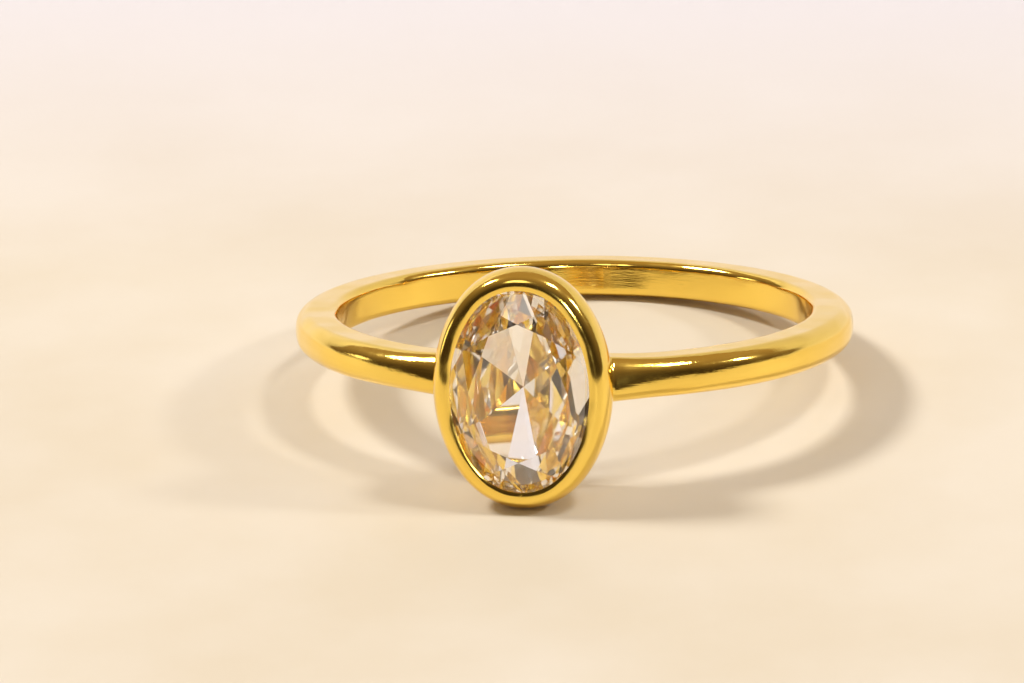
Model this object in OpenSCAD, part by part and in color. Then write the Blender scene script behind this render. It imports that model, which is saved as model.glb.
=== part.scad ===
// Bezel set ring: an oval faceted stone in a smooth bezel cup on a plain round band.
// Millimetres. It lies as it rests on a table: the stone faces -Y and tips a little upwards.
// The ring's own frame has its origin in the finger hole, Z along the finger and the bezel towards -Y.

/* [Band] */
// Radius of the finger hole
finger_r = 7.9; // [7.6:0.1:8.2]
// Thickness of the band from the finger outwards
band_t = 1.4; // [1.2:0.1:1.6]
// Width of the band along the finger
band_w = 1.28; // [1.2:0.04:1.6]
// Rounding of the band's two outer edges
outer_round = 0.38; // [0.2:0.02:0.4]
// Rounding of the band's two inner edges
inner_round = 0.24; // [0.1:0.02:0.3]

/* [Bezel] */
// Distance from the finger's axis to the plane of the bezel's opening
reach = 10.68; // [10.5:0.05:10.9]
// Depth of the bezel cup behind its opening
cup_depth = 2.66; // [2.5:0.02:2.7]
// Width of the opening between the rim's inner edges
opening_w = 4.43; // [4.4:0.01:4.46]
// Height of the opening between the rim's inner edges
opening_h = 6.44; // [6.41:0.01:6.47]
// Radius of the rim's rolled edge
rim_r = 0.4; // [0.36:0.02:0.44]
// Radius of the cup's bulging side behind the rolled edge
side_r = 1.1; // [1:0.05:1.2]
// Angle at which the cup narrows towards its back
cup_taper = 16; // [14:1:18]

/* [Stone] */
// Width of the stone across its girdle
stone_w = 5; // [4.98:0.01:5.01]
// Height of the stone across its girdle
stone_h = 7; // [6.98:0.01:7.01]
// Depth of the girdle's upper edge behind the plane of the opening
girdle_at = 0.37; // [0.36:0.01:0.38]
// Height of the crown above the girdle
crown_h = 0.62; // [0.56:0.01:0.62]
// Thickness of the girdle
girdle_t = 0.16; // [0.14:0.01:0.18]
// Depth of the pavilion below the girdle
pavilion_d = 2.1; // [2:0.01:2.12]
// Size of the table as a part of the girdle
table_part = 0.63; // [0.58:0.01:0.66]
// Height at which the stars end, as a part of the crown's height
star_height = 0.8; // [0.74:0.01:0.84]
// Where the pavilion's lower facets end, as a part of the girdle
lower_part = 0.48; // [0.4:0.01:0.6]
// Turn of the crown's slanted corners from the stone's long axis
corner_turn = 34.5; // [30:0.5:45]

/* [Hidden] */
$fn = 96;
gold = [0.93, 0.72, 0.33];
gem = [0.93, 0.94, 0.97];
// The opening is an oval of four arcs. Their centres lie 3 and 4 steps from the middle, so 5 steps from each other.
half_w = opening_w / 2;
half_h = opening_h / 2;
step = (half_h - half_w) / 2;
end_at = 3 * step;
side_at = 4 * step;
end_r = half_h - end_at;
long_r = half_w + side_at;
// The rim starts with a slope of rim_start into the opening, rolls over to rim_end and goes on in the side.
rim_start = -20;
rim_end = 60;
rim_u = fine(-rim_r * sin(rim_start));
rim_s = fine(rim_r * cos(rim_start));
roll_u = fine(rim_u + rim_r * sin(rim_end));
roll_s = fine(rim_s - rim_r * cos(rim_end));
side_u = fine(roll_u - side_r * sin(rim_end));
side_s = fine(roll_s + side_r * cos(rim_end));
side_end = 90 + cup_taper;
bulge_end_u = fine(side_u + side_r * sin(side_end));
bulge_end_s = fine(side_s - side_r * cos(side_end));
back_u = fine(bulge_end_u - (cup_depth - bulge_end_s) * tan(cup_taper));
// Inside the cup: the lip over the stone, a groove for the girdle, a bearing and a wall that narrows.
lip_t = 0.05;
groove_u = 0.33;
groove_s = girdle_at - 0.08;
bearing_s = girdle_at + girdle_t + 0.05;
bearing_end_u = -0.1;
bearing_end_s = 1.1;
cup_in_u = -0.36;
rough_in = 0.9;
past = 1;
// The ring lies on the lowest part of the cup and on the back of the band.
outer_r = finger_r + band_t;
cup_y = -(reach - side_s);
cup_z = -(half_h + side_u);
band_y = outer_r - outer_round;
band_z = -(band_w / 2 - outer_round);
contact_gap = norm([band_y - cup_y, band_z - cup_z]);
tilt = atan2(band_z - cup_z, band_y - cup_y) + asin((side_r - outer_round) / contact_gap);
lift = side_r + cup_y * sin(tilt) - cup_z * cos(tilt);
front_y = -(reach + crown_h - girdle_at) * cos(tilt) - table_part * stone_h / 2 * sin(tilt);
back_y = band_y * cos(tilt) - band_z * sin(tilt) + outer_round;
plan_shift = -(front_y + back_y) / 2;

// Sizes are cut off at a tenth of a micrometre, so that the arcs' walls meet exactly.
function fine(v) = round(v * 10000) / 10000;

band_and_bezel();
stone();

// The whole ring is tipped back until it rests on the table, and its box is centred over the origin.
module as_it_rests() {
  translate([0, plan_shift, lift]) rotate([-tilt, 0, 0]) children();
}

// What is made with its opening up is turned to face -Y at the front of the ring.
module at_the_front() {
  translate([0, -reach, 0]) rotate([90, 0, 0]) children();
}

// Band and cup are soldered, so they are one piece of metal that the cup's hollow goes through.
module band_and_bezel() {
  color(gold) as_it_rests() difference() {
    union() {
      band();
      at_the_front() around_oval() {
        cup_section(end_r);
        cup_section(long_r);
      }
    }
    at_the_front() around_oval() {
      hollow_section(end_r);
      hollow_section(long_r);
    }
  }
}

module band() {
  rotate_extrude() band_section();
}

// A rectangle whose four edges are quarters of a circle, smaller on the finger side.
module band_section() {
  half = band_w / 2;
  translate([finger_r + inner_round, -half]) square([band_t - inner_round - outer_round, band_w]);
  translate([finger_r, -half + inner_round]) square([inner_round, band_w - 2 * inner_round]);
  translate([outer_r - outer_round, -half + outer_round]) square([outer_round, band_w - 2 * outer_round]);
  for (up = [-1, 1]) {
    corner(finger_r + inner_round, up * (half - inner_round), inner_round, -1, up);
    corner(outer_r - outer_round, up * (half - outer_round), outer_round, 1, up);
  }
}

// One quarter of a disc, on the side given by the two signs.
module corner(x, y, r, sx, sy) {
  translate([x, y]) intersection() {
    circle(r = r);
    translate([sx > 0 ? 0 : -2 * r, sy > 0 ? 0 : -2 * r]) square(2 * r);
  }
}

// Sweeps the first section round the two ends of the oval and the second along its two sides.
module around_oval() {
  for (turn = [0, 180]) rotate([0, 0, turn]) {
    translate([0, end_at, 0]) intersection() {
      rotate_extrude() children(0);
      wedge([4, 3], [-4, 3]);
    }
    translate([side_at, 0, 0]) intersection() {
      rotate_extrude() children(1);
      wedge([-4, 3], [-4, -3]);
    }
  }
}

// The space between two directions.
module wedge(from, to) {
  translate([0, 0, -5]) linear_extrude(10) polygon([[0, 0], 2 * from, 2 * to]);
}

// The cup's wall, left thick inside, out to the rolled rim, the bulging side and the narrow back.
module cup_section(r) {
  polygon([
    [r - rough_in, 0],
    [r, 0],
    [r + roll_u, -roll_s],
    [r + bulge_end_u, -bulge_end_s],
    [r + back_u, -cup_depth],
    [r - rough_in, -cup_depth]
  ]);
  slice(r + rim_u, -rim_s, rim_r, rim_start, rim_end);
  slice(r + side_u, -side_s, side_r, rim_end, side_end);
}

// A slice of a disc between two directions, counted clockwise from straight up.
module slice(x, y, r, from, to) {
  translate([x, y]) intersection() {
    circle(r = r);
    polygon([
      [0, 0],
      2 * r * [sin(from), cos(from)],
      3 * r * [sin((from + to) / 2), cos((from + to) / 2)],
      2 * r * [sin(to), cos(to)]
    ]);
  }
}

// What is taken out of the cup, from in front of the opening to past the back.
module hollow_section(r) {
  polygon([
    [0, past],
    [r, past],
    [r, -lip_t],
    [r + groove_u, -groove_s],
    [r + groove_u, -bearing_s],
    [r + bearing_end_u, -bearing_end_s],
    [r + cup_in_u, -cup_depth],
    [r + cup_in_u, -cup_depth - past],
    [0, -cup_depth - past]
  ]);
}

// Directions in which the crown's eight kites point, from the long axis, and those of the pavilion's mains.
kites = [0, corner_turn, 90, 180 - corner_turn, 180, 180 + corner_turn, 270, 360 - corner_turn, 360];
mains = [for (i = [0:8]) 45 * i];

function way(turn) = [sin(turn), cos(turn)];
function middle(turns, i) = (turns[i] + turns[i + 1]) / 2;
function half_gap(turns, i) = (turns[i + 1] - turns[i]) / 2;

// Facet corners are worked out in a round stone of radius 1, which is stretched to its size at the end.
star_parts = [for (i = [0:7]) (1 - star_height * (1 - table_part)) / cos(half_gap(kites, i))];
star_tips = [for (i = [0:7]) crown_h * star_height];
lower_parts = [for (i = [0:7]) lower_part];
lower_tips = [for (i = [0:7]) pavilion_d * (1 - lower_part * cos(half_gap(mains, i)))];

// Height of the flat facet between a kite's tip on the girdle, the middle beside it and the facet's inner tip.
function facet_height(p, tip, mid, part, height) = let (
    along = way(mid) - way(tip),
    across = [along[1], -along[0]]
  ) height * ((p - way(tip)) * across) / ((part * way(mid) - way(tip)) * across);

// The girdle's edge dips between the facets' tips, because each facet is flat and the girdle is round.
function edge_height(turn, turns, parts, heights) = let (
    found = [for (i = [0:7]) if (turn >= turns[i] && turn <= turns[i + 1]) i],
    i = found[0],
    mid = middle(turns, i),
    tip = turn < mid ? turns[i] : turns[i + 1]
  ) facet_height(way(turn), tip, mid, parts[i], heights[i]);

// Directions of the girdle's corners: every facet tip of one quarter and a corner between each two, mirrored.
quarter = [0, corner_turn / 2, 22.5, corner_turn, 45, 45 + corner_turn / 2, 67.5, 90];
quarter_turns = [for (i = [0:6], j = [0:1]) quarter[i] + (quarter[i + 1] - quarter[i]) * j / 2];
girdle_turns = [for (t = quarter_turns) each [t, t == 0 ? 90 : 180 - t, 180 + t, t == 0 ? 270 : 360 - t]];

// The stone is the smallest solid round its facets' corners, so every facet comes out flat.
module stone() {
  table = [for (i = [0:7]) let (w = table_part * way(kites[i])) [w[0], w[1], crown_h]];
  stars = [for (i = [0:7]) let (w = star_parts[i] * way(middle(kites, i))) [w[0], w[1], star_tips[i]]];
  upper = [for (t = girdle_turns) let (w = way(t)) [w[0], w[1], edge_height(t, kites, star_parts, star_tips)]];
  below = [for (t = girdle_turns) let (w = way(t))
    [w[0], w[1], -girdle_t - edge_height(t, mains, lower_parts, lower_tips)]];
  mids = [for (i = [0:7]) let (w = lower_part * way(middle(mains, i))) [w[0], w[1], -girdle_t - lower_tips[i]]];
  culet = [[0, 0, -girdle_t - pavilion_d]];
  corners = concat(table, stars, upper, below, mids, culet);
  sized = [for (p = corners) [p[0] * stone_w / 2, p[1] * stone_h / 2, p[2]]];
  color(gem) as_it_rests() at_the_front() translate([0, 0, -girdle_at])
    hull() polyhedron(points = sized, faces = [[for (i = [0:len(sized) - 1]) i]]);
}
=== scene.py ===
# %% [markdown]
# # A ring with an oval stone
# This notebook builds the looks of a small gold ring around its measured CAD part.
# The ring has three things to see: a plain rounded band, a smooth cup called the bezel, and a cut stone.
# Everything is modelled in millimetres in the ring's own frame, where the finger goes along Z and the
# stone faces -Y. One matrix at the end of each piece lays it down as it rests on the table, in metres.

import math
import bmesh
import bpy
from mathutils import Matrix, Vector


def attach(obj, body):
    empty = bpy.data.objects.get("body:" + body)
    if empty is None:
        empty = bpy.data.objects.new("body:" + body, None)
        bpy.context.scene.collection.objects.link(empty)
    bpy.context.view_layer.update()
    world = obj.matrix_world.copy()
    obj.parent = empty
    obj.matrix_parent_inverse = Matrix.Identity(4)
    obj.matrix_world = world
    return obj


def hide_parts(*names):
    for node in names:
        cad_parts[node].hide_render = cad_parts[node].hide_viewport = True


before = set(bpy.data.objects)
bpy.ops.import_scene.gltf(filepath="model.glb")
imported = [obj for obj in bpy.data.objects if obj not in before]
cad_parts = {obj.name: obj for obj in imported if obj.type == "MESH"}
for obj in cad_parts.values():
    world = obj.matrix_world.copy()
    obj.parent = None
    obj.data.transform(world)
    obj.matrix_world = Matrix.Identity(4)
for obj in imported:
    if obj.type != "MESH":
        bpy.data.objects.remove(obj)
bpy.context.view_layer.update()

# %% [markdown]
# ## The sizes that the pieces share
# The stone is a standard 7 by 5 mm oval. The other sizes were measured against it in the photograph.
# In the bezel, u counts outwards from the rim's inner edge, and s counts down from the plane of its opening.

# %% Shared sizes in millimetres
FINGER_R = 7.9
BAND_T = 1.4
BAND_W = 1.28
REACH = 10.68  # from the finger's axis to the plane of the bezel's opening
HALF_W = 2.215
HALF_H = 3.22
CUP_DEPTH = 2.66
CUP_TAPER = 16  # degrees by which the cup's wall slopes in towards its back
print("the band is", round(2 * (FINGER_R + BAND_T), 2), "mm across")

# %% [markdown]
# ## How the ring rests
# Left alone, the ring rests on the lower edge of its bezel and on the back of its band, so it leans back.
# The CAD part already lies like that, and every new piece has to lie the same way.
# Each object could be turned and moved, but the finished pieces have to sit at the origin, unturned.
# So the turn goes into the mesh: one matrix for the band, and a second one for what faces the front.

# %% The two matrices
REST_TILT = math.radians(9.68466)
REST_LIFT = 2.13687
REST_SHIFT = 0.964277

as_it_rests = (
    Matrix.Scale(0.001, 4)
    @ Matrix.Translation((0, REST_SHIFT, REST_LIFT))
    @ Matrix.Rotation(-REST_TILT, 4, "X")
)
at_the_front = as_it_rests @ Matrix.Translation((0, -REACH, 0)) @ Matrix.Rotation(math.radians(90), 4, "X")
print("the finger's axis leans back", round(math.degrees(REST_TILT), 1), "degrees")

# %% [markdown]
# ## From a bmesh to a finished piece
# Each piece ends the same way: doubles are merged, its faces are turned outwards, it is laid down,
# and it is told which body of the part it rides on and which material slot it takes its finish from.
# Polished metal is shaded smooth, but a smooth shade smears over a real corner. So edges that turn by more
# than 35 degrees are marked sharp, and a face with many corners, which is a sawn end, stays flat.
# A piece can also keep coordinates of its own in an attribute called polish. The gold uses them later.

# %% Finishing a piece
SHARP_TURN = 35
SAWN_CORNERS = 9


def finish_piece(name, bm, place, material, smooth=True, along=None):
    bmesh.ops.remove_doubles(bm, verts=bm.verts, dist=1e-5)
    if along:
        layer = bm.verts.layers.float_vector.new("polish")
        for v in bm.verts:
            v[layer] = along(v.co)
    bmesh.ops.recalc_face_normals(bm, faces=bm.faces)
    bmesh.ops.transform(bm, matrix=place, verts=bm.verts)
    for face in bm.faces:
        face.smooth = smooth and len(face.verts) < SAWN_CORNERS
    open_edges = sum(1 for e in bm.edges if len(e.link_faces) != 2)
    mesh = bpy.data.meshes.new(name)
    bm.to_mesh(mesh)
    bm.free()
    if smooth:
        mesh.set_sharp_from_angle(angle=math.radians(SHARP_TURN))
    mesh.materials.append(material)
    piece = bpy.data.objects.new(name, mesh)
    bpy.context.scene.collection.objects.link(piece)
    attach(piece, "root")
    print(name, "has", len(mesh.polygons), "faces and", open_edges, "open edges")
    return piece


print("edges that turn by more than", SHARP_TURN, "degrees stay sharp")

# %% [markdown]
# ## Tools for the finishes
# All finishes here are made of the same few nodes: a cloudy noise, a fade from one number to another,
# two tones, a blend and a fine relief. A small function for each keeps the recipes short to read.
# The clouds lie in the piece's own coordinates, in metres, so they keep their size and stay on the metal.

# %% Finish tools
def start_finish(name):
    finish = bpy.data.materials.new(name)
    finish.use_nodes = True
    return finish, finish.node_tree, finish.node_tree.nodes["Principled BSDF"]


def own_place(tree):
    finder = tree.nodes.get("own_place") or tree.nodes.new("ShaderNodeTexCoord")
    finder.name = "own_place"
    return finder.outputs["Object"]


def from_mesh(tree, name):
    reader = tree.nodes.get(name) or tree.nodes.new("ShaderNodeAttribute")
    reader.name = reader.attribute_name = name
    return reader


def cloudy(tree, scale, detail=2.0, rough=0.5, along=None):
    cloud = tree.nodes.new("ShaderNodeTexNoise")
    cloud.inputs["Scale"].default_value = scale
    cloud.inputs["Detail"].default_value = detail
    cloud.inputs["Roughness"].default_value = rough
    tree.links.new(along or own_place(tree), cloud.inputs["Vector"])
    return cloud.outputs["Fac"]


def fade(tree, value, start, end, low=0.0, high=1.0):
    span = tree.nodes.new("ShaderNodeMapRange")
    for socket, number in (("From Min", start), ("From Max", end), ("To Min", low), ("To Max", high)):
        span.inputs[socket].default_value = number
    tree.links.new(value, span.inputs["Value"])
    return span.outputs["Result"]


def two_tones(tree, value, low, high, start=0.0, end=1.0):
    ramp = tree.nodes.new("ShaderNodeValToRGB")
    first, last = ramp.color_ramp.elements
    first.position, last.position = start, end
    first.color, last.color = low, high
    tree.links.new(value, ramp.inputs["Fac"])
    return ramp.outputs["Color"]


def blend(tree, share, first, second, kind="FLOAT"):
    mixed = tree.nodes.new("ShaderNodeMix")
    mixed.data_type = kind
    mixed.inputs["B"].default_value = second
    tree.links.new(share, mixed.inputs["Factor"])
    tree.links.new(first, mixed.inputs["A"])
    return mixed.outputs["Result"]


def relief(tree, height, depth, under=None):
    bump = tree.nodes.new("ShaderNodeBump")
    bump.inputs["Strength"].default_value = 1.0
    bump.inputs["Distance"].default_value = depth
    tree.links.new(height, bump.inputs["Height"])
    if under:
        tree.links.new(under, bump.inputs["Normal"])
    return bump.outputs["Normal"]


print("tools for finishes: clouds, fades, two tones, blends and reliefs")

# %% [markdown]
# ## The gold: colour and sheen
# Polished gold plate is a mirror with a warm colour. A single flat colour looks like paint, so two close
# golds drift into each other, and a soft haze makes some reflections a little less crisp than others.
# A wheel doesn't reach the inside of a cup, so the metal there stays as it was cast, with one even sheen.
# The bezel's mesh says where that is, in an attribute called as_cast: 1 inside the cup and 0 outside.

# %% Gold colour and sheen
GOLD_DEEP = (1.0, 0.68, 0.12, 1)
GOLD_PALE = (1.0, 0.745, 0.17, 1)
GOLD_AS_CAST = (1.0, 0.73, 0.13, 1)
CRISPEST, SOFTEST, AS_CAST_SHEEN = 0.08, 0.19, 0.15
TONE_CLOUD = (260, 3)  # how many clouds to the metre, and how fine their detail is
HAZE_CLOUD = (900, 4, 0.65)  # the third number is how strong the fine detail is
HAZE_FROM, HAZE_TO = 0.35, 0.75


def gold_tone(tree):
    drift = two_tones(tree, cloudy(tree, *TONE_CLOUD), GOLD_DEEP, GOLD_PALE)
    return blend(tree, from_mesh(tree, "as_cast").outputs["Fac"], drift, GOLD_AS_CAST, "RGBA")


def gold_sheen(tree):
    haze = fade(tree, cloudy(tree, *HAZE_CLOUD), HAZE_FROM, HAZE_TO, CRISPEST, SOFTEST)
    return blend(tree, from_mesh(tree, "as_cast").outputs["Fac"], haze, AS_CAST_SHEEN)


print("the gold's roughness goes from", CRISPEST, "to", SOFTEST)

# %% [markdown]
# ## The gold: traces of the work
# Three traces are left on the metal. The surface waves by less than a tenth of a millimetre, over two or
# three millimetres. The wheel leaves hairlines along the band and round the cup. And beside the cup, at the
# solder, small pits stay that the wheel doesn't reach. A painted picture could show all this, but it would
# stretch on the curved metal, so each trace is a cloud read as a relief, and the three are stacked.
# Hairlines need coordinates that bend with the metal, so they read the polish attribute, in millimetres.
# With fifteen clouds to the millimetre across and one along, a cloud is drawn out into lines.

# %% Gold relief
WAVE_CLOUD, WAVE_DEPTH = (420, 1), 0.00014
LINE_CLOUD, LINE_DEPTH = (1, 3, 0.6), 0.000003
PIT_CLOUD, PIT_DEPTH = (8000, 2, 0.6), 0.0000035
ALONG_THE_WHEEL, ACROSS_THE_WHEEL = 0.9, 15.0
PITS_BEGIN, PITS_FULL = -0.003, -0.007  # metres along Y, so towards the front
BESIDE_THE_CUP = (0.0033, 0.0037)  # metres to either side


def hairlines(tree):
    stretch = tree.nodes.new("ShaderNodeMapping")
    stretch.inputs["Scale"].default_value = (ALONG_THE_WHEEL, ACROSS_THE_WHEEL, ACROSS_THE_WHEEL)
    tree.links.new(from_mesh(tree, "polish").outputs["Vector"], stretch.inputs["Vector"])
    return cloudy(tree, *LINE_CLOUD, along=stretch.outputs["Vector"])


def work_out(tree, operation, *values):
    maths = tree.nodes.new("ShaderNodeMath")
    maths.operation = operation
    for value, socket in zip(values, maths.inputs):
        tree.links.new(value, socket)
    return maths.outputs["Value"]


def part_place(tree):
    parted = tree.nodes.new("ShaderNodeSeparateXYZ")
    tree.links.new(own_place(tree), parted.inputs["Vector"])
    return parted.outputs


def pits_at_the_solder(tree):
    place = part_place(tree)
    front = fade(tree, place["Y"], PITS_BEGIN, PITS_FULL)
    beside = fade(tree, work_out(tree, "ABSOLUTE", place["X"]), *BESIDE_THE_CUP)
    here = work_out(tree, "MULTIPLY", front, beside)
    return work_out(tree, "MULTIPLY", cloudy(tree, *PIT_CLOUD), here)


print("the pits begin", round(-1000 * PITS_BEGIN, 1), "mm in front of the origin")

# %% [markdown]
# ## The gold: all together
# The shader is told that it is metal, and takes its colour, its sheen and its relief from the parts above.

# %% Gold finish
def gold_finish():
    finish, tree, shader = start_finish("polished_gold")
    shader.inputs["Metallic"].default_value = 1.0
    tree.links.new(gold_tone(tree), shader.inputs["Base Color"])
    tree.links.new(gold_sheen(tree), shader.inputs["Roughness"])
    waves = relief(tree, cloudy(tree, *WAVE_CLOUD), WAVE_DEPTH)
    lines = relief(tree, hairlines(tree), LINE_DEPTH, waves)
    pits = relief(tree, pits_at_the_solder(tree), PIT_DEPTH, lines)
    tree.links.new(pits, shader.inputs["Normal"])
    return finish


gold = gold_finish()
print("gold nodes:", len(gold.node_tree.nodes))

# %% [markdown]
# ## The clear stone
# A clear stone bends light strongly and has hardly any colour. What shows in it is its surroundings, bent
# and thrown back by the facets. A thin see-through surface would miss that, so the shader's own glass does
# the bending. The index 2.15, that of a dense stone, fits the pattern of facets seen in the photograph.
# Window glass has about 1.5, and would let more of the light out at the back.
# A very faint noise keeps the polish from being the same everywhere.

# %% Stone finish
STONE_TINT = (1.0, 0.985, 0.965, 1)
STONE_INDEX = 2.15
WEAR_CLOUD = 1500
WEAR_FROM, WEAR_TO = 0.6, 0.8
FRESH_POLISH, WORN_POLISH = 0.02, 0.04


def stone_finish():
    finish, tree, shader = start_finish("clear_stone")
    shader.inputs["Base Color"].default_value = STONE_TINT
    shader.inputs["Transmission Weight"].default_value = 1.0
    shader.inputs["IOR"].default_value = STONE_INDEX
    wear = fade(tree, cloudy(tree, WEAR_CLOUD), WEAR_FROM, WEAR_TO, FRESH_POLISH, WORN_POLISH)
    tree.links.new(wear, shader.inputs["Roughness"])
    return finish


clear_stone = stone_finish()
print("stone nodes:", len(clear_stone.node_tree.nodes))

# %% [markdown]
# ## The band's section
# A real band is a rolled bar, bent round and soldered. Its section is a rectangle with soft edges, and its
# outer face is slightly domed, which draws the long soft highlights along it.
# A bevelled curve could make such a bar, but then its ends would be harder to fit to the bezel.
# So a square is set up beside the finger, stretched to the bar's section, and a vertex bevel rounds its
# corners. The straight sides get more points, and the dome moves the outer ones towards the finger, the
# more the farther they are from the middle.

# %% Band section
CORNER_ROUNDS = ((FINGER_R, 0.24, 7), (FINGER_R + BAND_T, 0.38, 10))  # where, radius and steps
SIDE_CUTS = 6
LONG_EDGE = 0.3
FACE_FROM = 0.4  # the dome starts this far out from the finger
DOME = 0.4  # how much it takes off at 1 mm from the middle, growing with the square


def newest(result, kind):
    return [g for g in result["geom_last"] if isinstance(g, kind)]


def count_points(draw):
    trial = bmesh.new()
    draw(trial)
    points = len(trial.verts)
    trial.free()
    return points


def band_section(bm):
    half_t, half_w = BAND_T / 2, BAND_W / 2
    square = bmesh.ops.create_grid(bm, x_segments=1, y_segments=1, size=1.0)
    stand = Matrix.Translation((FINGER_R + half_t, 0, 0)) @ Matrix.Rotation(math.radians(90), 4, "X")
    bmesh.ops.transform(bm, matrix=stand @ Matrix.Diagonal((half_t, half_w, 1, 1)), verts=square["verts"])
    for face_at, radius, steps in CORNER_ROUNDS:
        corners = [v for v in bm.verts if abs(v.co.x - face_at) < 0.01]
        bmesh.ops.bevel(bm, geom=corners, offset=radius, offset_type="OFFSET", segments=steps,
                        profile=0.5, affect="VERTICES", material=-1)
    long_edges = [e for e in bm.edges if e.calc_length() > LONG_EDGE]
    bmesh.ops.subdivide_edges(bm, edges=long_edges, cuts=SIDE_CUTS)
    for v in bm.verts:
        share = max(0.0, v.co.x - FINGER_R - FACE_FROM) / (BAND_T - FACE_FROM)
        v.co.x -= DOME * share * v.co.z ** 2
    bmesh.ops.delete(bm, geom=bm.faces[:], context="FACES_ONLY")
    return bm.edges[:]


print("the band's section has", count_points(band_section), "points")

# %% [markdown]
# ## How far the cup's wall is
# What happens to the band near the bezel depends on its distance from the cup's wall.
# It could be measured on the finished bezel, point by point, but the wall is simple enough for a formula:
# seen from the front its side is close to an arc, and below the bulge it slopes in evenly.

# %% Distance to the wall
WALL_ARC_AT, WALL_ARC_R = 2.01, 4.225  # the arc's centre, beyond the middle, and its radius
WALL_TOP_U, WALL_TOP_S = 0.588, 1.029  # where the bulging side ends and the straight wall starts
TAPER = math.radians(CUP_TAPER)


def wall_at(s):
    return WALL_TOP_U - max(s - WALL_TOP_S, 0) * math.tan(TAPER)


def away_from_wall(at):
    from_arc = math.hypot(abs(at.x) + WALL_ARC_AT, at.z) - WALL_ARC_R
    return max(0.0, (from_arc - wall_at(at.y + REACH)) * math.cos(TAPER))


print("the straight wall slopes in by", round(WALL_TOP_U - wall_at(CUP_DEPTH), 2), "mm")

# %% [markdown]
# ## The solder
# Where the band meets the bezel the solder makes a small hollow fillet, and the band swells a little.
# The upper edge of its outer face also comes a little nearer the finger there than the lower edge does.
# A boolean would join the two, but with a hard seam. Instead the band's own points are moved: out from the
# middle of the bar for the fillet, up and down for the swelling, and in and out for the lean.
# The fillet fades out towards the finger's side, so that the hole stays round.

# %% Moving the band's points
SOLDER_R = 0.2
SWELL, SWELL_REACH = 0.12, 1.9
FACE_LEAN, LEAN_REACH = 0.26, 3.2
FINGER_SIDE = 0.3


def fades_out(away, reach):
    return max(0.0, 1 - away / reach) ** 2


def solder(bm):
    for v in bm.verts:
        if v.co.y > 0:
            continue
        away, z = away_from_wall(v.co), v.co.z
        r = math.hypot(v.co.x, v.co.y)
        mid = Vector((v.co.x, v.co.y, 0)) * ((FINGER_R + BAND_T / 2) / r)
        v.co.z *= 1 + SWELL * fades_out(away, SWELL_REACH)
        near = min(away, SOLDER_R)
        fillet = SOLDER_R - math.sqrt(SOLDER_R**2 - (SOLDER_R - near) ** 2)
        clear_of_finger = min(1.0, max(0.0, (r - FINGER_R) / FINGER_SIDE))
        out = v.co - mid
        if out.length > 1e-6:
            v.co += out.normalized() * fillet * clear_of_finger
        lean = FACE_LEAN * fades_out(away, LEAN_REACH) * max(0.0, r - FINGER_R - FACE_FROM) * z
        v.co -= mid.normalized() * lean


print("at the wall the band swells to", round(BAND_W * (1 + SWELL), 2), "mm, and the fillet comes on top")

# %% [markdown]
# ## Turning and sawing the band
# The spin operator turns the section round the finger, from one side of the cup to the other. It does so in
# three arcs, because the two ends near the bezel need finer steps for the solder.
# Each end is then sawn off inside the cup's wall, and its inner corner is filed down to the cup's back edge.
# A boolean with a block could do that too, but bisect_plane is one plane and one call, and holes_fill closes
# the cut. The cuts leave some very short edges. They shade as small dark lines, so they are merged.

# %% Sweeping and sawing
WALL_MID = 12.5  # degrees from the front to the middle of the cup's wall
FINE_TURN, FINE_STEPS = 14, 70
PLAIN_TURN, PLAIN_STEPS = 360 - 2 * WALL_MID - 2 * FINE_TURN, 164
SAW_X, SAW_Y = 1.93, -8.02
CUT_WAYS = ((-1.0, -0.19), (-0.55, 0.84))  # the saw's, then the file's
CUT_WITHIN_X, CUT_BEFORE_Y = 4, -5
SHORTEST_EDGE = 0.004


def sweep(bm, loop, degrees, steps):
    turned = bmesh.ops.spin(bm, geom=loop, cent=(0, 0, 0), axis=(0, 0, 1),
                            angle=math.radians(degrees), steps=steps)
    return newest(turned, bmesh.types.BMVert) + newest(turned, bmesh.types.BMEdge)


def near_the_cup(face, side):
    middle = face.calc_center_median()
    return 0 < middle.x * side < CUT_WITHIN_X and middle.y < CUT_BEFORE_Y


def saw_ends(bm):
    for side in (-1, 1):
        for x, y in CUT_WAYS:
            faces = [f for f in bm.faces if near_the_cup(f, side)]
            end = {g for f in faces for g in (f, *f.edges, *f.verts)}
            bmesh.ops.bisect_plane(bm, geom=list(end), dist=1e-6, plane_co=Vector((side * SAW_X, SAW_Y, 0)),
                                   plane_no=Vector((side * x, y, 0)), clear_outer=True)
            bmesh.ops.holes_fill(bm, edges=[e for e in bm.edges if len(e.link_faces) == 1], sides=0)
    bmesh.ops.dissolve_degenerate(bm, dist=SHORTEST_EDGE, edges=bm.edges)


print("the plain back of the band turns by", PLAIN_TURN, "degrees")

# %% [markdown]
# ## The finished band
# The steps above, in the order of the work. The polish coordinates of the band are what a wheel would
# follow: millimetres along the band, out from the finger's axis, and across.

# %% Band
def band_polish(at):
    return Vector((FINGER_R * math.atan2(at.x, -at.y), math.hypot(at.x, at.y), at.z))


def make_band():
    bm = bmesh.new()
    edges = band_section(bm)
    start = Matrix.Rotation(math.radians(WALL_MID - 90), 3, "Z")
    bmesh.ops.rotate(bm, verts=bm.verts, cent=(0, 0, 0), matrix=start)
    loop = bm.verts[:] + edges
    for degrees, steps in ((FINE_TURN, FINE_STEPS), (PLAIN_TURN, PLAIN_STEPS), (FINE_TURN, FINE_STEPS)):
        loop = sweep(bm, loop, degrees, steps)
    saw_ends(bm)
    solder(bm)
    return finish_piece("band", bm, as_it_rests, gold, along=band_polish)


band = make_band()

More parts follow.
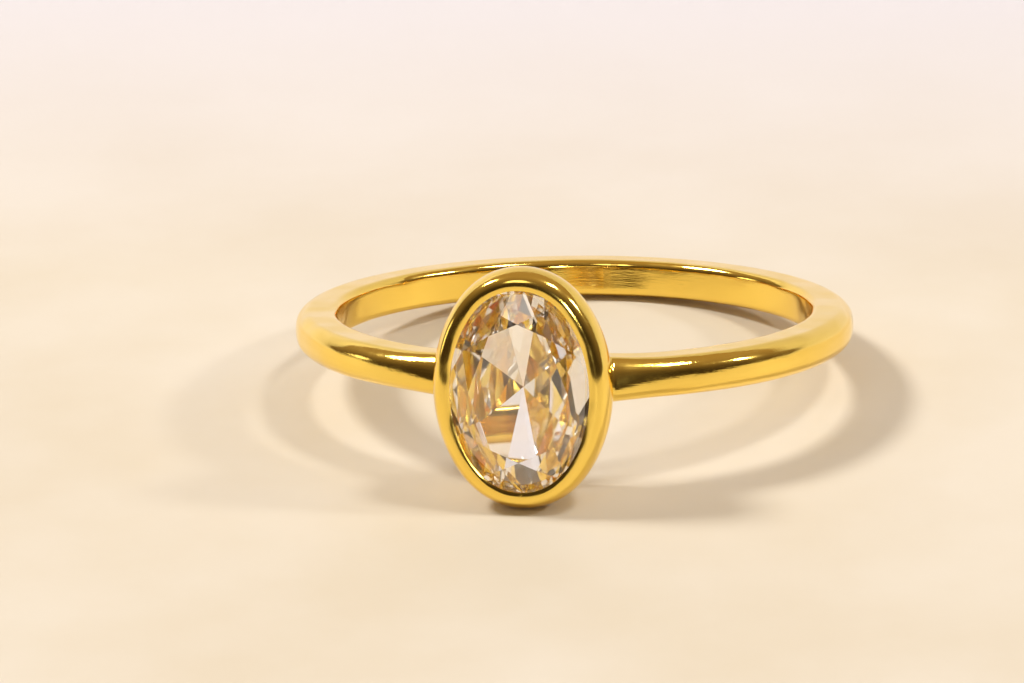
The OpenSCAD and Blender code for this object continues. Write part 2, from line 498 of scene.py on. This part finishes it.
# %% [markdown]
# ## The bezel's oval
# A bezel is a strip of metal bent round the stone, with its upper edge rubbed down over it.
# Its outline is an oval, which is not an ellipse: it is rounder at its ends.
# A scaled circle would give an ellipse, and a rim that is thicker at the ends. So the oval is rolled in
# short arcs instead. Each arc has its own centre, and the section is spun about it.
# With many arcs the curve changes its bend smoothly, so the reflections in the gold have no kinks.
# Only the way the bend changes is chosen. The radii follow from the half width and the half height.

# %% Oval made of short arcs
ARCS = 60
BEND_TURN, BEND_SPREAD = 33.0, 6.5  # degrees: where the bend changes, and over how much


def bend_at(turn):
    return 1 / (1 + math.exp((math.degrees(turn) - BEND_TURN) / BEND_SPREAD))


def oval_arcs():
    step = math.radians(90) / ARCS
    turns = [(i + 0.5) * step for i in range(ARCS)]
    chord = 2 * math.sin(step / 2)
    across = sum(chord * bend_at(t) * math.sin(t) for t in turns)
    along = sum(chord * bend_at(t) * math.cos(t) for t in turns)
    full_across = sum(chord * math.sin(t) for t in turns)
    full_along = sum(chord * math.cos(t) for t in turns)
    # end + more * bend is each arc's radius, and the arcs add up to the half width and the half height
    det = full_across * along - full_along * across
    end = (HALF_W * along - HALF_H * across) / det
    more = (full_across * HALF_H - full_along * HALF_W) / det
    return step, [end + more * bend_at(t) for t in turns]


arc_step, arc_radii = oval_arcs()
print("the oval bends from", round(arc_radii[0], 2), "to", round(arc_radii[-1], 2), "mm")

# %% [markdown]
# ## The bezel's section
# Cut through, the cup's wall is a closed outline. From the lip that holds the stone it rolls over the rim,
# bulges out at the side, runs straight down to the back, and comes up inside, past the groove in which the
# stone's edge sits. The two round parts are a point that is spun, and the straight ones are the last point
# extruded. That keeps the arcs true, where a list of points would have to copy them.
# The points on the inside are marked as_cast, for the gold's duller sheen.

# %% Bezel section
RIM_R, LIP_TURN, RIM_STEPS = 0.4, 20, 16
SIDE_R, ROLL_TURN, SIDE_STEPS = 1.1, 60, 14
OUTSIDE = ((0.30, 2.02), (0.1203, CUP_DEPTH))  # u and s, down to the back
INSIDE = ((-0.36, CUP_DEPTH), (-0.2, 1.8), (-0.1, 1.1), (0.33, 0.58), (0.33, 0.29))  # and up again
LIP_U, LIP_S = 0.0, 0.05


def turn_point(bm, vert, u, s, degrees, steps):
    turned = bmesh.ops.spin(bm, geom=[vert], cent=(HALF_W + u, 0, -s), axis=(0, 1, 0),
                            angle=math.radians(degrees), steps=steps)
    return newest(turned, bmesh.types.BMVert)[0]


def draw_to(bm, vert, u, s, as_cast):
    made = bmesh.ops.extrude_vert_indiv(bm, verts=[vert])["verts"][0]
    made.co = (HALF_W + u, 0, -s)
    made[bm.verts.layers.float["as_cast"]] = as_cast
    return made


def bezel_section(bm):
    bm.verts.layers.float.new("as_cast")
    lip_turn, roll_turn = math.radians(LIP_TURN), math.radians(ROLL_TURN)
    lip = bm.verts.new((HALF_W, 0, 0))
    rim_u, rim_s = RIM_R * math.sin(lip_turn), RIM_R * math.cos(lip_turn)
    v = turn_point(bm, lip, rim_u, rim_s, LIP_TURN + ROLL_TURN, RIM_STEPS)
    roll_u, roll_s = rim_u + RIM_R * math.sin(roll_turn), rim_s - RIM_R * math.cos(roll_turn)
    side_u, side_s = roll_u - SIDE_R * math.sin(roll_turn), roll_s + SIDE_R * math.cos(roll_turn)
    v = turn_point(bm, v, side_u, side_s, 90 - ROLL_TURN + CUP_TAPER, SIDE_STEPS)
    for u, s in OUTSIDE:
        v = draw_to(bm, v, u, s, 0.0)
    for u, s in INSIDE:
        v = draw_to(bm, v, u, s, 1.0)
    v = draw_to(bm, v, LIP_U, LIP_S, 0.0)
    bm.edges.new((v, lip))


print("the bezel's section has", count_points(bezel_section), "points")

# %% [markdown]
# ## Rolling the bezel
# The section first gets its two back corners rounded. Then it is spun through the sixty arcs, which make a
# quarter of the cup. From one arc to the next the centre moves along the radius, by the difference of the
# two radii, so the arcs join without a corner. Two mirrors make the whole cup.
# Its polish coordinates go round the cup, out from its middle, and along its depth.

# %% Bezel
BACK_ROUND, BACK_STEPS = 0.09, 5
CUP_R = 3  # about the cup's radius, which turns an angle into millimetres


def bezel_polish(at):
    out = math.hypot(at.x / HALF_W, at.y / HALF_H)
    return Vector((CUP_R * math.atan2(at.x, at.y), CUP_R * out, at.z))


def make_bezel():
    bm = bmesh.new()
    bezel_section(bm)
    backs = [v for v in bm.verts if abs(v.co.z + CUP_DEPTH) < 1e-4]
    bmesh.ops.bevel(bm, geom=backs, offset=BACK_ROUND, offset_type="OFFSET", segments=BACK_STEPS,
                    profile=0.5, affect="VERTICES", material=-1)
    loop = bm.verts[:] + bm.edges[:]
    centre = Vector((HALF_W - arc_radii[0], 0, 0))
    for i, radius in enumerate(arc_radii):
        turned = bmesh.ops.spin(bm, geom=loop, cent=centre, axis=(0, 0, 1), angle=arc_step, steps=1)
        loop = newest(turned, bmesh.types.BMVert) + newest(turned, bmesh.types.BMEdge)
        if i + 1 < len(arc_radii):
            turn = (i + 1) * arc_step
            centre += Vector((math.cos(turn), math.sin(turn), 0)) * (radius - arc_radii[i + 1])
    for axis in "XY":
        bmesh.ops.mirror(bm, geom=bm.verts[:] + bm.edges[:] + bm.faces[:], merge_dist=1e-4, axis=axis)
    return finish_piece("bezel", bm, at_the_front, gold, along=bezel_polish)


bezel = make_bezel()
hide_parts("band_and_bezel")
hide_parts("band_and_bezel")

# %% [markdown]
# ## The stone's facets
# A cutter makes a stone by grinding flat facets on a rough blank, one after the other.
# The points where facets meet could be joined by hand, but then nothing makes sure that a facet is flat.
# Here each facet is a plane instead. A place on the stone is laid out as on a round stone, by its turn from
# the upper end, its part of the way out and its height, and is stretched to the oval with the blank.

# %% The stone's sizes
STONE = (2.5, 3.5)  # half width and half height
GIRDLE_T = 0.16
CROWN_H = 0.62
PAVILION_D = 1.55
TABLE_PART = 0.63
STAR_HEIGHT = 0.8
LOWER_PART = 0.62
CORNER_TURN = 34.5
KITES = [0, CORNER_TURN, 90, 180 - CORNER_TURN, 180, 180 + CORNER_TURN, 270, 360 - CORNER_TURN, 360]
MAINS = [45 * i for i in range(9)]
INSIDE_THE_STONE = Vector((0, 0, -0.3))


def way(turn, part=1.0, height=0.0):
    t = math.radians(turn)
    return Vector((part * math.sin(t) * STONE[0], part * math.cos(t) * STONE[1], height))


def plane_through(a, b, c):
    normal = (b - a).cross(c - a).normalized()
    if normal.dot(a - INSIDE_THE_STONE) < 0:
        normal.negate()
    return a, normal


print("the stone is", round(CROWN_H + GIRDLE_T + PAVILION_D, 2), "mm thick")

# %% [markdown]
# ## The crown
# The crown is the part above the girdle, the stone's edge. It has a flat table, eight stars, eight kites
# and sixteen upper facets. They hang together by the tips of the stars: a kite runs between two tips, and
# two upper facets go down from each tip to the girdle.

# %% Crown facets
STAR_PART = 1 - STAR_HEIGHT * (1 - TABLE_PART)


def star_tip(i):
    gap = math.radians(KITES[i + 1] - KITES[i]) / 2
    return way((KITES[i] + KITES[i + 1]) / 2, STAR_PART / math.cos(gap), CROWN_H * STAR_HEIGHT)


def crown_facets():
    planes = [(Vector((0, 0, CROWN_H)), Vector((0, 0, 1)))]
    for i in range(8):
        left, right = way(KITES[i], TABLE_PART, CROWN_H), way(KITES[i + 1], TABLE_PART, CROWN_H)
        tip = star_tip(i)
        planes.append(plane_through(left, right, tip))
        planes.append(plane_through(left, tip, star_tip((i - 1) % 8)))
        for end in (KITES[i], KITES[i + 1]):
            planes.append(plane_through(tip, way(end), way((KITES[i] + KITES[i + 1]) / 2)))
    return planes


print("crown facets:", len(crown_facets()))

# %% [markdown]
# ## The pavilion
# The pavilion is the pointed part below the girdle: eight mains that meet in the culet, and sixteen lower
# facets. On an oval stone it is steeper along the sides than towards the two ends. Stretching a round
# pavilion gives some of that. The lower tips are also moved in across the stone and out along it.

# %% Pavilion facets
STEEPER_SIDES, FLATTER_ENDS = 0.92, 1.3
HALF_MAIN = 22.5  # degrees


def lower_tip(turn):
    depth = PAVILION_D * (1 - LOWER_PART * math.cos(math.radians(HALF_MAIN)))
    slope = Matrix.Diagonal((STEEPER_SIDES, FLATTER_ENDS, 1))
    return slope @ way(turn, LOWER_PART, -GIRDLE_T - depth)


def pavilion_facets():
    planes = []
    culet = Vector((0, 0, -GIRDLE_T - PAVILION_D))
    for i in range(8):
        mid = (MAINS[i] + MAINS[i + 1]) / 2
        tip = lower_tip(mid)
        planes.append(plane_through(culet, tip, lower_tip(mid - 2 * HALF_MAIN)))
        for end in (MAINS[i], MAINS[i + 1]):
            planes.append(plane_through(tip, way(end, 1, -GIRDLE_T), way(mid, 1, -GIRDLE_T)))
    return planes


print("pavilion facets:", len(pavilion_facets()))

# %% [markdown]
# ## Grinding the stone
# The blank is an oval disc, and bisect_plane is the grinding wheel: it takes away all that lies outside a
# facet's plane, and holes_fill closes the cut with one flat face. What stays of the disc is the girdle.
# A cut stone lives from its hard edges, so its faces aren't shaded smooth.

# %% Stone
GIRDLE_AT = 0.37  # behind the plane of the bezel's opening
BLANK_CORNERS, BLANK_DEPTH = 192, 6


def make_stone():
    bm = bmesh.new()
    bmesh.ops.create_cone(bm, cap_ends=True, segments=BLANK_CORNERS, radius1=1, radius2=1, depth=BLANK_DEPTH)
    bmesh.ops.transform(bm, matrix=Matrix.Diagonal((STONE[0], STONE[1], 1, 1)), verts=bm.verts)
    for at, normal in crown_facets() + pavilion_facets():
        cut = bmesh.ops.bisect_plane(bm, geom=bm.verts[:] + bm.edges[:] + bm.faces[:], dist=1e-6,
                                     plane_co=at, plane_no=normal, clear_outer=True)
        rim = [g for g in cut["geom_cut"] if isinstance(g, bmesh.types.BMEdge)]
        bmesh.ops.holes_fill(bm, edges=rim, sides=0)
    bmesh.ops.dissolve_degenerate(bm, dist=1e-5, edges=bm.edges)
    bmesh.ops.translate(bm, verts=bm.verts, vec=(0, 0, -GIRDLE_AT))
    return finish_piece("oval_stone", bm, at_the_front, clear_stone, smooth=False)


stone = make_stone()
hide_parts("stone")

# %% [markdown]
# ## The floor's finish
# The ring stands on a pale ground. It is a warm cream, faintly clouded, and goes over to a cooler pale tone
# behind the ring. One colour for all would be simpler, but the gold mirrors the ground, and then both its
# reflection and the background lose that change.

# %% Floor finish
FLOOR_DARK = (0.68, 0.61, 0.487, 1)
FLOOR_LIGHT = (0.725, 0.67, 0.573, 1)
FAR_TONE = (0.705, 0.69, 0.737, 1)
FLOOR_CLOUD = (90, 5)
FLOOR_CLOUD_FROM, FLOOR_CLOUD_TO = 0.35, 0.65
FAR_BEGINS, FAR_FULL = 0.010, 0.045  # metres behind the origin
FLOOR_ROUGH = 0.6


def floor_finish():
    finish, tree, shader = start_finish("pale_cream")
    shader.inputs["Roughness"].default_value = FLOOR_ROUGH
    cream = two_tones(tree, cloudy(tree, *FLOOR_CLOUD), FLOOR_DARK, FLOOR_LIGHT,
                      FLOOR_CLOUD_FROM, FLOOR_CLOUD_TO)
    behind = fade(tree, part_place(tree)["Y"], FAR_BEGINS, FAR_FULL)
    tree.links.new(blend(tree, behind, cream, FAR_TONE, "RGBA"), shader.inputs["Base Color"])
    return finish


pale_cream = floor_finish()
print("floor nodes:", len(pale_cream.node_tree.nodes))

# %% [markdown]
# ## Floor and backdrop
# A floor and a wall would meet in a line that shows in the gold. So one pale sweep does both: a floor that
# bends up into a backdrop, not attached to the part as a piece. Its profile is one point, extruded along
# the floor, spun for the bend and extruded up. The profile is then pulled a metre wide.

# %% Stage
STAGE_LEFT, STAGE_WIDE = -0.5, 1.0
FLOOR_FRONT, FLOOR_MIDDLE, FLOOR_BACK = -0.5, -0.12, 0.10
BEND_R, BEND_STEPS = 0.14, 24
BACKDROP_Y, BACKDROP_TOP = 0.24, 0.24


def draw_stage_to(bm, vert, y, z):
    made = bmesh.ops.extrude_vert_indiv(bm, verts=[vert])["verts"][0]
    made.co = (STAGE_LEFT, y, z)
    return made


def make_stage():
    bm = bmesh.new()
    made = bm.verts.new((STAGE_LEFT, FLOOR_FRONT, 0.0))
    for y in (FLOOR_MIDDLE, FLOOR_BACK):
        made = draw_stage_to(bm, made, y, 0.0)
    turned = bmesh.ops.spin(bm, geom=[made], cent=(0, FLOOR_BACK, BEND_R), axis=(1, 0, 0),
                            angle=math.radians(90), steps=BEND_STEPS)
    draw_stage_to(bm, newest(turned, bmesh.types.BMVert)[0], BACKDROP_Y, BACKDROP_TOP)
    wide = bmesh.ops.extrude_edge_only(bm, edges=bm.edges[:])
    far_side = [g for g in wide["geom"] if isinstance(g, bmesh.types.BMVert)]
    bmesh.ops.translate(bm, verts=far_side, vec=(STAGE_WIDE, 0, 0))
    bmesh.ops.recalc_face_normals(bm, faces=bm.faces)
    for face in bm.faces:
        face.smooth = True
    mesh = bpy.data.meshes.new("floor_and_backdrop")
    bm.to_mesh(mesh)
    bm.free()
    mesh.materials.append(pale_cream)
    ground = bpy.data.objects.new("floor_and_backdrop", mesh)
    bpy.context.scene.collection.objects.link(ground)
    return ground


floor = make_stage()
print("the floor and backdrop have", len(floor.data.polygons), "faces")

# %% [markdown]
# ## Lamps
# A mirror shows what is around it. The pale sweep behind and below gives the gold its broad bright parts,
# and a few soft lamps give the small highlights. One big lamp would be simpler, but it would light the ring
# evenly and leave no small highlights. Each lamp is a disk that looks at the ring's head.
# Each row is a lamp: its name, its place in metres, its size, its power in watts and its colour.

# %% Lamps
RING_HEAD = Vector((0, 0, 0.003))
LAMPS = (
    ("key_left", (-0.38, 0.05, 0.46), 0.13, 2.45, (1.0, 0.96, 0.90)),
    ("top_right", (0.27, -0.01, 0.54), 0.11, 1.15, (1.0, 0.97, 0.93)),
    ("side_right", (0.49, 0.03, 0.33), 0.07, 0.85, (1.0, 0.97, 0.92)),
    ("side_left", (-0.58, -0.02, 0.08), 0.10, 0.06, (1.0, 0.93, 0.82)),
    ("front_low", (0.17, -0.56, 0.17), 0.06, 0.3, (1.0, 0.95, 0.88)),
    ("front_top", (-0.10, -0.40, 0.43), 0.2, 0.2, (1.0, 0.96, 0.90)),
)


def hang_lamp(name, place, size, watts, colour):
    data = bpy.data.lights.new(name, "AREA")
    data.shape = "DISK"
    data.size = size
    data.energy = watts
    data.color = colour
    lamp = bpy.data.objects.new(name, data)
    lamp.location = place
    lamp.rotation_euler = (RING_HEAD - Vector(place)).to_track_quat("-Z", "Y").to_euler()
    bpy.context.scene.collection.objects.link(lamp)
    return lamp


lamps = [hang_lamp(*row) for row in LAMPS]
print("lamps:", len(lamps), "with", round(sum(lamp.data.energy for lamp in lamps), 2), "watts")

# %% [markdown]
# ## The dim room
# Between the lamps the gold mirrors the room, above and in front of the ring. One even tone is simpler, but
# it would give one flat olive, where the photograph's darks are graded. So the room's light depends on the
# direction: each one is compared with one that points up and a little back, and the closer they are, the
# brighter the room is there. It is darkest towards the front and below.

# %% Room
ROOM_COLOUR = (1.0, 0.70, 0.45, 1)
UP_AND_BACK = (0.0, 0.5, 0.87)
DARKEST_AT, BRIGHTEST_AT = -0.12, 0.9
DARKEST, BRIGHTEST = 0.045, 0.40


def dim_room():
    room = bpy.data.worlds.new("dim_room")
    room.use_nodes = True
    tree = room.node_tree
    background = tree.nodes["Background"]
    background.inputs["Color"].default_value = ROOM_COLOUR
    toward = tree.nodes.new("ShaderNodeTexCoord")
    overhead = tree.nodes.new("ShaderNodeVectorMath")
    overhead.operation = "DOT_PRODUCT"
    overhead.inputs[1].default_value = UP_AND_BACK
    tree.links.new(toward.outputs["Generated"], overhead.inputs[0])
    strength = fade(tree, overhead.outputs["Value"], DARKEST_AT, BRIGHTEST_AT, DARKEST, BRIGHTEST)
    tree.links.new(strength, background.inputs["Strength"])
    return room


bpy.context.scene.world = dim_room()
print("the room's brightest part is", round(BRIGHTEST / DARKEST, 1), "times its darkest")

# %% [markdown]
# ## Camera
# The camera's place was worked out from the photograph: 150 mm from the finger's axis with a long lens,
# ten degrees to the side and twelve degrees above the plane of the band. It is given in the ring's own
# frame and laid down with it, so the ring is seen at the photograph's angle.
# The lens was found in pixels of a picture 1024 wide, and the sensor's width turns it into millimetres.

# %% Camera
CAM_DIST, CAM_PIXELS = 150.0, 4490.0
CAM_SIDE, CAM_UP, CAM_ROLL = map(math.radians, (10.19, 11.83, -0.73))
CAM_RIGHT, CAM_RISE = -2.08, -0.593
PICTURE_WIDE, SENSOR_WIDE = 1024, 36.0


def place_camera():
    level = math.cos(CAM_UP)
    d = Vector((math.sin(CAM_SIDE) * level, -math.cos(CAM_SIDE) * level, math.sin(CAM_UP)))
    right = Vector((math.cos(CAM_SIDE), math.sin(CAM_SIDE), 0))
    up = d.cross(right)
    x_axis = right * math.cos(CAM_ROLL) + up * math.sin(CAM_ROLL)
    y_axis = -right * math.sin(CAM_ROLL) + up * math.cos(CAM_ROLL)
    where = d * CAM_DIST + x_axis * CAM_RIGHT + y_axis * CAM_RISE
    turn = Matrix((x_axis, y_axis, d)).transposed().to_4x4()
    data = bpy.data.cameras.new("camera")
    data.sensor_width = SENSOR_WIDE
    data.lens = CAM_PIXELS / PICTURE_WIDE * SENSOR_WIDE
    data.clip_start, data.clip_end = 0.01, 10.0
    camera = bpy.data.objects.new("camera", data)
    tip = Matrix.Rotation(-REST_TILT, 4, "X")
    camera.matrix_world = Matrix.Translation(as_it_rests @ where) @ tip @ turn
    bpy.context.scene.collection.objects.link(camera)
    bpy.context.scene.camera = camera
    return camera


camera = place_camera()
print("camera at", [round(1000 * c, 1) for c in camera.location], "mm")

# %% [markdown]
# ## Colours and light paths
# The Standard view shows the colours as they are. Blender's own choice would pale the bright golds.
# Inside a cut stone, light is thrown from facet to facet many times before it comes out, and Cycles counts
# each time as a glossy bounce. With its usual few, facets would turn black, so more bounces are allowed.

# %% View and bounces
LIGHT_BOUNCES = 40

bpy.context.scene.view_settings.view_transform = "Standard"
light_paths = bpy.context.scene.cycles
light_paths.max_bounces = light_paths.glossy_bounces = light_paths.transmission_bounces = LIGHT_BOUNCES
print("light may bounce", light_paths.glossy_bounces, "times")
